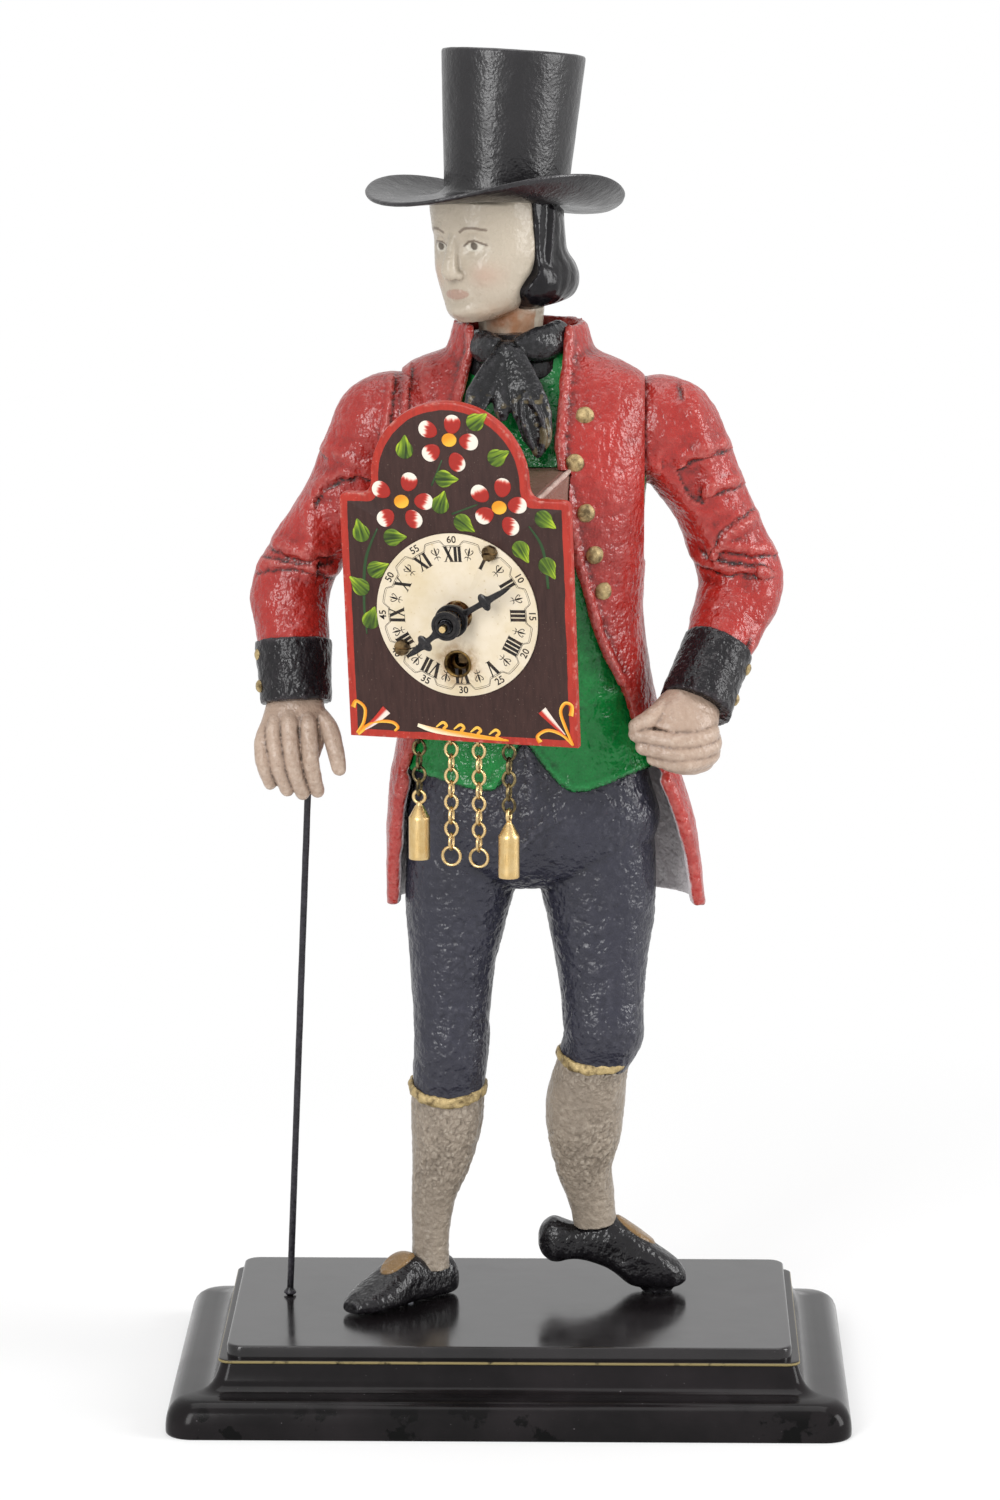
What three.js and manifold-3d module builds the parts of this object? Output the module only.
// Figural clock: a painted cast iron clock seller with a wall clock on his chest.
// Millimetres, +Z up, +Y to the back, origin in the middle of the plinth's underside.
// The figure is modelled from the top of the base upwards, the clock from the centre of its dial.

import * as THREE from 'three';
import { mergeVertices } from 'three/addons/utils/BufferGeometryUtils.js';
import Module from 'manifold-3d';

const wasm = await Module();
wasm.setup();
const { Manifold, Mesh } = wasm;

// Gaps between pieces
const FIT = 0.3;

// Reach of the cutting bodies past the pieces that they cut
const PAST = { wide: 90, high: 400, pocket: 20, neck: 30, hub: 30, hubBack: 10, screw: 12 };

// Base: a moulded plinth with a plate let into its top step
const PLINTH = { width: 201, depth: 133, nose: 10.5, corner: 8 };
// Nose of the plinth, one row each: inset, share of its height
const NOSE_PROFILE = [[0.4, 0], [0, 0.1], [0, 0.5], [0.8, 0.8], [2.8, 1]];
const STEP = { inset: 15.7, rise: 8.2, flare: 1.6, lip: 1.1, lipOut: 0.7, cove: 2.6 };
const PLATE = { margin: 1.7, thickness: 3.7, corner: 4.5, edge: 0.6 };
const PLINTH_TOP = PLINTH.nose + STEP.rise + STEP.lip;
const BASE_TOP = PLINTH_TOP + PLATE.thickness;

// Screws that hold the feet: place under the shoe, shank and head
const FOOT_SCREW = { radius: 1.6, head: 3.4, headHeight: 2.4, reach: 6.5 };
const RIGHT_FOOT_AT = [-31, -1.5];
const LEFT_FOOT_AT = [44, 13];

// Body sections, one row each: height, middle x, middle y, half width, front depth, back depth
const TRUNK = [
  [157, 6, 0, 38, 23.5, 24.5],
  [172, 5.5, 0, 35.8, 23.3, 23],
  [188, 5, 0, 33, 23, 21],
  [208, 4.5, 0, 32, 24, 21],
  [232, 4, 0, 34, 26, 22.5],
  [252, 3.5, 0, 36.5, 26, 23],
  [265, 3.2, 1, 36.5, 22, 21.5],
  [275, 3, 1.5, 34, 16.5, 17.5],
  [283, 2.8, 2, 27, 12.5, 13],
  [290, 2.6, 2, 15, 11.5, 12],
];
const COAT = [
  [160, 7.2, 0, 43.5, 25.8, 28.5],
  [174, 6.2, 0, 40, 25.6, 26],
  [188, 5.2, 0, 37, 25.2, 23.8],
  [212, 4.2, 0, 34.6, 26.2, 23.2],
  [236, 4, 0, 36.6, 28.3, 24.8],
  [254, 3.5, 0, 39, 28.2, 25.2],
  [267, 3.2, 1, 39.4, 24.4, 23.8],
  [276, 3, 1.5, 39.4, 19.2, 20],
  [283, 2.8, 2, 35, 15.5, 16.4],
  [289, 2.6, 2, 21, 12.5, 13.5],
];
const SKIRT = [
  [122, 10.4, 2, 47.6, 27, 33],
  [146, 8.8, 1, 46, 26.5, 31],
  [160, 7.4, 0, 43.6, 26, 28.8],
  [170, 6.6, 0, 41.2, 25.8, 26.8],
];
const PELVIS = [
  [129.5, 6.5, 0, 22, 12, 15],
  [137, 6.7, 0, 35.5, 18.5, 21.5],
  [148, 6.5, 0, 37.4, 20.8, 24],
  [160, 6, 0, 35.4, 20.6, 22],
  [172, 5.5, 0, 32.6, 20.2, 20],
  [181, 5.2, 0, 30, 19.2, 18],
];
const COLLAR = [
  [279, 2.8, 2, 27, 17, 18],
  [288, 2.6, 2.5, 20.6, 15.5, 16.5],
  [297, 2.4, 3.5, 17.6, 14.5, 15.5],
];
const COLLAR_WALL = 3;
const NECKCLOTH = [
  [281, 2, 2, 16.5, 14.5, 14.5],
  [288, 1.5, 2, 15.6, 14.8, 14],
  [293.6, 1, 2, 13.8, 13.6, 13],
];
const SKIRT_WALL = 3;
const TORSO_TURN = -12;
const TORSO_TURN_FROM = 165;
const TORSO_TURN_TO = 235;
const BODY_POWER = 2.35;

// Coat opening, one row each: height, left edge x, right edge x
const OPENING = [
  [305, -18.5, 17.5],
  [290, -16.5, 16.5],
  [263, -17, 14],
  [231, -21, 19.6],
  [207, -24, 26.1],
  [188, -27, 35],
  [164, -31, 41.5],
  [150, -33, 43],
];
const WAIST_NOTCH = [[-7.5, 155], [-2.5, 164.5], [3.5, 178], [8, 170.5], [16.5, 155]];
const HEM = 160.5;
const TAIL_FRONT = [[-60, 173], [-13, 173], [-2, 126], [-2, 110], [-60, 110]];
const TAIL_END = 122.5;
const VENT = { x: 8, top: 166, width: 3, spread: 11 };

// Front buttons: radius, height of the dome, and their places across the coat
const BUTTON = { radius: 2.7, dome: 1.7 };
const BUTTONS = [[21.5, 272], [18.7, 259], [21.9, 244.5], [24.5, 232], [27, 221]];

// Cravat: knot and two ends
const KNOT = { at: [-2.2, -16.5, 287.5], size: [5.2, 5, 4.6] };
const CRAVAT_RIGHT = [
  [-2.5, -19, 288, 3, 2.2, 2.2],
  [-7, -23.4, 281, 4.8, 2.4, 2.4],
  [-11, -27.4, 274, 4.4, 2.2, 2.2],
];
const CRAVAT_LEFT = [
  [-1.5, -19, 288, 3, 2.2, 2.2],
  [3.4, -24.2, 279, 5.2, 2.6, 2.6],
  [8, -28.6, 268, 5, 2.6, 2.6],
  [9.2, -29.2, 263, 1.6, 1.4, 1.4],
];

// Limbs, one row each: x, y, height, half width, front depth, back depth
const RIGHT_LEG = [
  [-13, 1, 146, 18, 17.5, 20],
  [-16, 1, 124.5, 15.8, 15.5, 17.5],
  [-17.6, 0, 106, 12.9, 13.5, 14],
  [-17.9, -1, 90, 11.4, 12, 12],
  [-18, -1.5, 78.5, 11.1, 11.8, 11.2],
  [-19, -0.5, 66, 10.8, 10.5, 11.5],
  [-19.5, 0.5, 56.5, 10.7, 9.8, 12.3],
  [-21, 2, 44.5, 9, 8.4, 10.5],
  [-23.5, 3.5, 32, 6.7, 6.8, 7.8],
  [-24.4, 4, 19.5, 5.6, 6, 7],
  [-24.6, 4, 8, 5.8, 6.2, 7],
];
const LEFT_LEG = [
  [24, 1, 146, 18.5, 17.5, 20],
  [26.2, 0.5, 124.5, 16.6, 16, 17.5],
  [26.8, -1, 105.5, 13.6, 14, 14],
  [27.2, -2.5, 93.5, 12.2, 12.5, 12],
  [27.4, -3, 84.5, 12, 12.3, 11.5],
  [24.8, -1, 76, 10.6, 11, 11],
  [22.2, 3, 62, 11.8, 10, 12.5],
  [21.8, 5.5, 51, 11, 9.2, 11.8],
  [21.8, 8.5, 40, 8.5, 7.8, 9.5],
  [24.2, 11, 28.5, 6.9, 6.5, 7.5],
  [25.8, 12.5, 16, 7, 6.5, 7],
];
const GARTER = { height: 4.4, out: 1.1 };
const RIGHT_GARTER_AT = 64.5;
const LEFT_GARTER_AT = 75.5;

// Shoes, one row each: distance from the heel, half width, sole height, upper height
const RIGHT_SHOE = [
  [0, 3.2, 0.6, 8],
  [3.5, 6, 0, 13],
  [12, 6.6, 0, 13],
  [20, 7, 0, 15.5],
  [29, 8, 0, 10.5],
  [37, 7, 0, 7],
  [42, 3.4, 0.6, 4.4],
];
const LEFT_SHOE = [
  [0, 3.4, 12, 19],
  [3, 6, 9, 23.5],
  [11, 6.4, 9.8, 21.5],
  [20, 6.8, 6.8, 24.5],
  [27, 7.6, 1.6, 20.5],
  [35, 7.6, 0.9, 14.5],
  [41, 5.6, 1.2, 10],
  [44, 2.8, 3, 6.2],
];
const RIGHT_HEEL = { at: [-18, 12], turn: 224 };
const LEFT_HEEL = { at: [9, 12.6], turn: 2 };
const TOE_PAD = { radius: 5, height: 2 };

// Line between the front and back castings: distance back, height
const RIGHT_PARTING = [[1.5, 190], [1, 124], [-1, 80], [0.8, 56], [3.5, 32], [4, 18], [4, -1]];
const LEFT_PARTING = [[1.5, 190], [0.5, 124], [-2.5, 86], [3, 62], [8.5, 40], [12.5, 20], [13, -1]];
const PARTING_MIDDLE = 7;
const TORSO_PARTING = 1.5;

// Arms and their tenons in the shoulders
const ARMHOLE = { left: 39, right: -32.5, bottom: 226 };
const TENON = { radius: 5, length: 8, drop: 4, root: 2 };
const LEFT_ARM = [
  [33, 1, 265.5, 18, 16, 16],
  [44.6, 1.5, 266, 17.4, 15.5, 15.5],
  [51.2, 2.5, 257, 13.8, 13, 13],
  [58, 4.5, 244, 11.6, 11.8, 11.8],
  [64, 6.5, 230, 11.8, 11.5, 11.5],
  [67.6, 6.5, 219, 12.6, 11.5, 12],
  [64, 1.5, 209, 11, 11, 11],
  [60, -6, 199, 9.6, 10.2, 10.2],
  [57, -12, 191, 8.4, 9, 9],
];
const LEFT_CUFF = [
  [61, -4.6, 201.4, 10.6, 11, 11],
  [57.4, -10.6, 193.6, 10.5, 11, 11],
  [54, -16.6, 185.4, 11, 11.4, 11.4],
];
const LEFT_FIST = [
  [55, -15, 188, 7.2, 6.6, 6.6],
  [50, -20.5, 181, 10.2, 8.6, 8.6],
  [45, -25.5, 175.2, 11, 9.2, 9.2],
  [41, -29, 171, 8, 6.6, 6.6],
];
const RIGHT_ARM = [
  [-27, 1, 265.5, 18, 16, 16],
  [-35.8, 1.5, 266, 17, 15.5, 15.5],
  [-42.6, 2.5, 257.5, 13.6, 13, 13],
  [-50.8, 4, 243, 11.2, 12, 12],
  [-60.4, 5, 228, 11, 11.5, 11.5],
  [-65.5, 4.5, 216.5, 11.8, 11.5, 11.5],
  [-65, 1, 207, 11, 11, 11],
  [-64.2, -3, 199, 10.4, 10.6, 10.6],
  [-63.8, -6, 190, 8.4, 8.4, 8.4],
];
const RIGHT_CUFF = [
  [-64.4, -2, 202.4, 11.3, 11.4, 11.4],
  [-64, -4.6, 193, 11, 11.2, 11.2],
  [-63.6, -7, 184.6, 10.5, 10.8, 10.8],
];
const RIGHT_PALM = [
  [-63.7, -6.6, 187, 7.4, 5.6, 5.6],
  [-64, -9.6, 178, 10, 5.4, 5.4],
  [-64.6, -12, 169, 10.4, 4.8, 4.8],
];
const FINGER = { radius: 2.7, count: 4, pitch: 4.8, drop: 0.9 };
const FIRST_FINGER = [[-73, -13, 174], [-73.6, -15.8, 167.5], [-71.2, -12.6, 161.4]];
const RIGHT_THUMB = [[-57, -9.4, 180], [-52.6, -13, 172], [-50.6, -15.6, 165]];
const FIST_FINGER = { radius: 2.6, count: 4, step: [-3.6, -0.9, 3.5] };
const FIST_FIRST = [[46, -30.6, 170], [52.8, -26.6, 169.6], [57, -21.4, 174]];
const CUFF_BUTTON = { radius: 1.8, dome: 1.2 };

// Cane: a thin rod from the palm to a hole in the plate
const CANE = { radius: 1, top: [-59.6, -11.3, 168], foot: [-67.2, 6.8], sink: 2.6, collar: 1.9 };

// Head, rows as for the body, measured from the chin in its own turned frame
const HEAD = { at: [-3.4, 1.5, 296], turn: -40, lean: -5 };
const SKULL = [
  [-1.5, 0, -9, 5, 6.5, 6],
  [2, 0, -5, 9.8, 13.5, 10],
  [7.5, 0, -2, 13, 16.8, 12],
  [14, 0, 0, 15, 18.4, 14],
  [21, 0, 0, 16.2, 18, 17],
  [28, 0, 0, 16.4, 17.6, 19],
  [35, 0, 0, 16.4, 18.4, 20],
  [44, 0, 0, 15.6, 17.4, 19],
];
const HAIR = [
  [1, 0, 4, 9, 4, 12],
  [4, 0, 4, 16, 8, 18],
  [9, 0, 3, 18.6, 10, 20.6],
  [15, 0, 2, 17.8, 10, 20],
  [22, 0, 1, 18, 12, 20.6],
  [34, 0, 1, 18.2, 14, 21.4],
  [44, 0, 0, 17.4, 15, 21],
];
const HAIRLINE = 2.5;
const NECK = { radius: 10, top: 6, bottom: -16, back: 3, right: 3 };
const NOSE = [
  [0, -16.6, 29, 1.6, 1.6, 2.6],
  [0, -19.2, 22, 2, 2.2, 3],
  [0, -21.2, 16.6, 3.4, 2.6, 4],
  [0, -18.8, 13.4, 3, 1.4, 2],
];
const LIPS = { at: [0, -17.6, 8.6], size: [4.6, 2.1, 1.7] };
const CHIN = { at: [0, -15.2, 2.6], size: [5.2, 4.6, 3.8] };
const EYE = { at: [6.2, -15.6, 24.4], size: [3.4, 2.2, 2] };

// Hat: a hollow tapered crown with a rolled brim, turned with the head
const HAT = { at: [-1.8, 1.8, 332.8], turn: -42, leanBack: 6.5, leanSide: 3 };
const CROWN = { height: 42.4, side: 16.9, front: 19.2, flare: 1.175, wall: 1.6 };
const BRIM = { side: 35, front: 41, thick: 1.3, roll: 6.5, dip: 3.2, shift: [-2.2, -2.2], lift: 1.4, liftAt: 42 };

// Clock: place of the dial centre in the figure's frame, turned to the side and tipped forward
const CLOCK = { at: [-14.5, -52, 218.6], turn: -16.2, tip: 7.6 };
const BOARD = { halfWidth: 34.4, bottom: -38.4, shoulder: 34.8, thick: 3, corner: 2.4 };
const ARCH = { x: -1.2, halfWidth: 23.4, spring: 39.5, top: 62.6, fillet: 3.6 };
const DIAL = { radius: 24.3, thick: 0.6, hole: 4.4, turn: 2.3 };
const DIAL_SCREW = { radius: 1.1, head: 2.3, headHeight: 1.7, slot: 0.7 };
const DIAL_SCREWS = [[10.7, 19.3], [-16.8, -10.2]];
const WINDING = { x: -0.5, z: -14.6, hole: 4.1 };
const CASE = { halfWidth: 24, top: 34, bottom: -33, back: 38, wall: 1.1, corner: 2 };
const CASE_SCREW = { radius: 1.6, head: 3, headHeight: 1.6, reach: 7, heights: [20, -20] };

// Movement: plates and pillars, distances measured back from the board's face
const MOVEMENT = { halfWidth: 20, bottom: -30.5, top: 31.5, front: 11, back: 28, thick: 1.5 };
const PILLAR = { radius: 1.8, end: 1.2, x: 17.2, low: -27.5, high: 28.5, nut: 2.5, nutHeight: 1.4 };
const PIVOT = 0.8;

// Wheel train: teeth of each wheel and the pinion that it drives, and the wheels' places
const TRAIN = { great: 36, centrePinion: 6, centre: 36, thirdPinion: 6, third: 32, escapePinion: 8 };
const GREAT_WHEEL = { front: 13, thick: 1.2 };
const CENTRE_WHEEL = { front: 23.4, thick: 1, radius: 10, arbor: 1 };
const THIRD_WHEEL = { front: 17, thick: 1, radius: 8, angle: 139 };
const ESCAPE_WHEEL = { front: 20.2, thick: 0.8, radius: 5, teeth: 15, angle: 32 };
const PINION_OVERLAP = 0.6;
const RATCHET = { radius: 5, teeth: 12, front: 14.7, thick: 1.2 };
const ARBOR = { radius: 2, tip: 4.2 };
const SPRING = { inner: 2.35, outer: 10.6, turns: 4, strip: 0.5, front: 17, width: 5 };
const LEVER = { rise: 7.4, reach: 6.1, thick: 0.8, width: 1.4 };
const BALANCE = { x: 10.6, z: 21.5, radius: 5.6, rim: 0.9, front: 24.6, thick: 1.1, arm: 1.1 };
const HAIRSPRING = { inner: 1.5, outer: 3.9, turns: 3, strip: 0.22, front: 26.4, width: 0.6 };
const MOTION = { cannon: 8, minute: 24, minutePinion: 6, hour: 24, distance: 12, angle: 15 };
const CANNON = { pipe: 2, front: 7.4, back: 10.4 };
const HOUR_WHEEL = { pipe: 3, front: 4.2, thick: 1.2 };
const MINUTE_WHEEL = { front: 8.2, thick: 1.2, stud: 0.9 };

// Hands: distance in front of the dial board, reach and pointing angle, clockwise from twelve
const HOUR_HAND = { front: 6.4, thick: 0.8, reach: 21, boss: 4.9, bossBack: 2.6, angle: 59 };
const MINUTE_HAND = { front: 11.4, thick: 0.8, reach: 15.2, boss: 4.3, bossBack: 4.2, angle: 230 };
const HAND_BLADE = { root: 1.5, tip: 0.35, bulge: 2.1, bulgeAt: 0.56, bulgeLength: 1.3 };
const HAND_NUT = { radius: 1.9, height: 1.6 };
const ARBOR_TIP = 15.4;

// Chains: wire links on four eyes, two of them with a weight
const LINK = { half: 1.7, length: 4.7, wire: 0.45, bite: 0.1 };
const EYE_RING = { radius: 1.5, shank: 0.6, back: 8, drop: 2.4 };
const CHAINS = [
  { x: -16.1, links: 5, weight: true },
  { x: -6.3, links: 9, weight: false },
  { x: 2.1, links: 9, weight: false },
  { x: 11.2, links: 6, weight: true },
];
const END_RING = 2.7;
const WEIGHT = { radius: 3.1, body: 12.6, cone: 3.6, neck: 0.8, ring: 1.75, wire: 0.5 };

// Finishes
const finish = (color, roughness, metalness) => new THREE.MeshStandardMaterial({ color, roughness, metalness });
const BLACK_LACQUER = finish(0x17161a, 0.35, 0);
const COAT_RED = finish(0xb2302b, 0.5, 0.1);
const BREECHES = finish(0x3a3a46, 0.6, 0.1);
const FLESH = finish(0xb8ae9e, 0.6, 0.1);
const HAT_BLACK = finish(0x1d1b20, 0.4, 0.2);
const IRON = finish(0x2c2a2d, 0.5, 0.8);
const STEEL = finish(0x8d8f94, 0.35, 1);
const BRASS = finish(0xb8923f, 0.35, 1);
const BOARD_PAINT = finish(0x3b2622, 0.55, 0);
const DIAL_CREAM = finish(0xe9dfc6, 0.6, 0);
const CASE_BROWN = finish(0x5a3b2e, 0.5, 0.1);
const HAND_BLACK = finish(0x121212, 0.4, 0.4);

// General helpers
const vec = (x, y, z) => new THREE.Vector3(x, y, z);
const radians = THREE.MathUtils.degToRad;
const UP = vec(0, 0, 1);
const FORWARD = vec(0, -1, 0);

// Turns a closed geometry into a solid, with its faces outward
function solid(geometry) {
  const bare = geometry.clone();
  bare.deleteAttribute('normal');
  bare.deleteAttribute('uv');
  const welded = mergeVertices(bare, 1e-4);
  const vertProperties = Float32Array.from(welded.attributes.position.array);
  const triVerts = Uint32Array.from(welded.index.array);
  const made = new Manifold(new Mesh({ numProp: 3, vertProperties, triVerts }));
  if (made.volume() > 0) return made;
  for (let i = 0; i < triVerts.length; i += 3) {
    [triVerts[i], triVerts[i + 1]] = [triVerts[i + 1], triVerts[i]];
  }
  return new Manifold(new Mesh({ numProp: 3, vertProperties, triVerts }));
}

// The largest body of a solid, without slivers left by a cut
function largest(body) {
  const pieces = body.decompose();
  return pieces.reduce((best, piece) => (piece.volume() > best.volume() ? piece : best));
}

function mesh(name, body, material) {
  const raw = body.getMesh();
  const geometry = new THREE.BufferGeometry();
  geometry.setAttribute('position', new THREE.BufferAttribute(Float32Array.from(raw.vertProperties), 3));
  geometry.setIndex(new THREE.BufferAttribute(Uint32Array.from(raw.triVerts), 1));
  geometry.computeVertexNormals();
  const made = new THREE.Mesh(geometry, material);
  made.name = name;
  return made;
}

// Skin over rings of equal count, closed at both ends or joined into a loop
function skin(rings, looped = false) {
  const count = rings[0].length;
  const positions = rings.flatMap((ring) => ring.flatMap((p) => [p.x, p.y, p.z]));
  const index = [];
  const spans = looped ? rings.length : rings.length - 1;
  for (let i = 0; i < spans; i += 1) {
    const next = (i + 1) % rings.length;
    for (let j = 0; j < count; j += 1) {
      const k = (j + 1) % count;
      index.push(i * count + j, i * count + k, next * count + k);
      index.push(i * count + j, next * count + k, next * count + j);
    }
  }
  if (!looped) {
    [[rings[0], 0, true], [rings[rings.length - 1], rings.length - 1, false]].forEach(([ring, row, first]) => {
      const middle = ring.reduce((sum, p) => sum.add(p), vec(0, 0, 0)).divideScalar(count);
      const centre = positions.length / 3;
      positions.push(middle.x, middle.y, middle.z);
      for (let j = 0; j < count; j += 1) {
        const a = row * count + j;
        const b = row * count + (j + 1) % count;
        index.push(...(first ? [centre, b, a] : [centre, a, b]));
      }
    });
  }
  const geometry = new THREE.BufferGeometry();
  geometry.setAttribute('position', new THREE.Float32BufferAttribute(positions, 3));
  geometry.setIndex(index);
  return solid(geometry);
}

// Rows of numbers made smooth, with a few steps between each pair
function smooth(rows, steps) {
  const at = (i, c) => rows[Math.min(Math.max(i, 0), rows.length - 1)][c];
  const made = [];
  for (let i = 0; i < rows.length - 1; i += 1) {
    for (let s = 0; s < steps; s += 1) {
      const t = s / steps;
      made.push(rows[0].map((_, c) => {
        const rise = (at(i + 1, c) - at(i - 1, c)) / 2;
        const nextRise = (at(i + 2, c) - at(i, c)) / 2;
        const a = 2 * at(i, c) - 2 * at(i + 1, c) + rise + nextRise;
        const b = -3 * at(i, c) + 3 * at(i + 1, c) - 2 * rise - nextRise;
        return ((a * t + b) * t + rise) * t + at(i, c);
      }));
    }
  }
  made.push(rows[rows.length - 1]);
  return made;
}

// One rounded section: half width along side, and its own depth in front and behind
function section(centre, side, front, [width, ahead, behind], count, power = 2) {
  const bend = (v) => Math.sign(v) * Math.abs(v) ** (2 / power);
  return Array.from({ length: count }, (_, i) => {
    const angle = (2 * Math.PI * i) / count;
    const depth = Math.sin(angle) > 0 ? ahead : behind;
    return centre.clone()
      .addScaledVector(side, width * bend(Math.cos(angle)))
      .addScaledVector(front, depth * bend(Math.sin(angle)));
  });
}

const torsoTurn = (height) => {
  const t = THREE.MathUtils.smoothstep(height, TORSO_TURN_FROM, TORSO_TURN_TO);
  return radians(TORSO_TURN * t);
};

// Body of level sections, each row grown all round
function stack(rows, { count = 16, steps = 1, grow = 0, power = BODY_POWER, turn = torsoTurn } = {}) {
  return skin(smooth(rows, steps).map(([height, x, y, ...size]) => {
    const side = vec(1, 0, 0).applyAxisAngle(UP, turn(height));
    const front = FORWARD.clone().applyAxisAngle(UP, turn(height));
    return section(vec(x, y, height), side, front, size.map((s) => s + grow), count, power);
  }));
}
const straight = () => 0;

// Limb of sections square to its own path
function limb(rows, { count = 10, steps = 1, power = 2.1, facing = FORWARD } = {}) {
  const fine = smooth(rows, steps);
  const points = fine.map(([x, y, z]) => vec(x, y, z));
  return skin(fine.map(([, , , ...size], i) => {
    const before = points[Math.max(i - 1, 0)];
    const after = points[Math.min(i + 1, points.length - 1)];
    const along = after.clone().sub(before).normalize();
    const front = facing.clone().addScaledVector(along, -facing.dot(along)).normalize();
    const side = along.clone().cross(front);
    return section(points[i], side, front, size, count, power);
  }));
}

const finger = (points, radius) => limb(
  points.map((p, i) => [...p, ...Array(3).fill(radius * (1 - 0.12 * i))]), { count: 6 });

const ellipsoid = (at, size, turns = 8, rings = 5) => solid(
  new THREE.SphereGeometry(1, turns, rings).scale(...size).translate(...at));

// A round bar between two points
function bar(from, to, radius, sides = 8, endRadius = radius) {
  const length = from.distanceTo(to);
  const geometry = new THREE.CylinderGeometry(endRadius, radius, length, sides);
  const turn = new THREE.Quaternion().setFromUnitVectors(vec(0, 1, 0), to.clone().sub(from).normalize());
  const middle = from.clone().add(to).divideScalar(2);
  return solid(geometry.applyQuaternion(turn).translate(middle.x, middle.y, middle.z));
}

const block = (from, to) => solid(
  new THREE.BoxGeometry(to[0] - from[0], to[1] - from[1], to[2] - from[2])
    .translate((from[0] + to[0]) / 2, (from[1] + to[1]) / 2, (from[2] + to[2]) / 2));

const outline = (points) => new THREE.Shape(points.map(([x, y]) => new THREE.Vector2(x, y)));

// A shape drawn in x and height, given thickness along y
function upright(shape, y, thick, curveSegments = 12) {
  const geometry = new THREE.ExtrudeGeometry(shape, { depth: thick, bevelEnabled: false, curveSegments });
  return solid(geometry.rotateX(Math.PI / 2).translate(0, y + thick, 0));
}

// A shape drawn in y and height, given thickness along x
function sideways(points, x, thick) {
  const geometry = new THREE.ExtrudeGeometry(outline(points), { depth: thick, bevelEnabled: false });
  return solid(geometry.rotateX(Math.PI / 2).rotateZ(Math.PI / 2).translate(x, 0, 0));
}

// Base
function roundedRing(halfX, halfY, corner, z, steps = 3) {
  const ring = [];
  [[1, 1], [-1, 1], [-1, -1], [1, -1]].forEach(([sx, sy], quarter) => {
    for (let i = 0; i <= steps; i += 1) {
      const angle = (quarter + i / steps) * Math.PI / 2;
      const x = sx * (halfX - corner) + corner * Math.cos(angle);
      const y = sy * (halfY - corner) + corner * Math.sin(angle);
      ring.push(vec(x, y, z));
    }
  });
  return ring;
}

const stepHalf = [PLINTH.width / 2 - STEP.inset, PLINTH.depth / 2 - STEP.inset];
const plateHalf = stepHalf.map((half) => half - PLATE.margin);

const footPlaces = [RIGHT_FOOT_AT, LEFT_FOOT_AT];
const footHole = ([x, y]) => bar(vec(x, y, -1), vec(x, y, BASE_TOP + 1), FOOT_SCREW.radius + FIT);
const footSink = ([x, y]) => bar(vec(x, y, -1), vec(x, y, FOOT_SCREW.headHeight + FIT * 2), FOOT_SCREW.head + FIT);

function plinthSolid() {
  const ring = (inset, z) => roundedRing(
    PLINTH.width / 2 - inset, PLINTH.depth / 2 - inset, Math.max(PLINTH.corner - inset * 0.3, 1.5), z);
  const nose = NOSE_PROFILE.map(([inset, share]) => ring(inset, PLINTH.nose * share));
  const riserFoot = STEP.inset - STEP.flare;
  const lipBottom = PLINTH.nose + STEP.rise;
  const rings = [
    ...nose,
    ring(riserFoot - STEP.cove, PLINTH.nose + 0.5),
    ring(riserFoot - STEP.cove * 0.3, PLINTH.nose + STEP.cove * 0.35),
    ring(riserFoot, PLINTH.nose + STEP.cove),
    ring(STEP.inset, lipBottom),
    ring(STEP.inset - STEP.lipOut, lipBottom + 0.2),
    ring(STEP.inset - STEP.lipOut, PLINTH_TOP - 0.2),
    ring(STEP.inset, PLINTH_TOP),
  ];
  return footPlaces.reduce((body, at) => body.subtract(footHole(at)).subtract(footSink(at)), skin(rings));
}

const caneFoot = vec(CANE.foot[0], CANE.foot[1], 0);
const caneTop = vec(...CANE.top);
const caneAlong = caneTop.clone().sub(caneFoot).normalize();
const caneEnd = caneFoot.clone().addScaledVector(caneAlong, -CANE.sink);
const lift = vec(0, 0, BASE_TOP);

function plateSolid() {
  const ring = (inset, z) => roundedRing(plateHalf[0] - inset, plateHalf[1] - inset, PLATE.corner, z);
  const rings = [
    ring(0, PLINTH_TOP),
    ring(0, BASE_TOP - PLATE.edge),
    ring(PLATE.edge, BASE_TOP),
  ];
  const hole = bar(
    caneEnd.clone().addScaledVector(caneAlong, -FIT).add(lift),
    caneFoot.clone().addScaledVector(caneAlong, CANE.sink).add(lift), CANE.radius + FIT);
  return footPlaces.reduce((body, at) => body.subtract(footHole(at)), skin(rings)).subtract(hole);
}

// A screw standing on its head, with a slot across it
function screw(radius, length, head, headHeight, slot = 0.9) {
  const shank = bar(vec(0, 0, 0), vec(0, 0, length), radius, 6);
  const cap = bar(vec(0, 0, -headHeight), vec(0, 0, 0.01), head);
  const cut = block([-head - 1, -slot / 2, -headHeight - 1], [head + 1, slot / 2, -headHeight * 0.5]);
  return shank.add(cap).subtract(cut);
}
const footScrew = () => screw(
  FOOT_SCREW.radius, BASE_TOP - FOOT_SCREW.headHeight - FIT + FOOT_SCREW.reach, FOOT_SCREW.head, FOOT_SCREW.headHeight);

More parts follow.
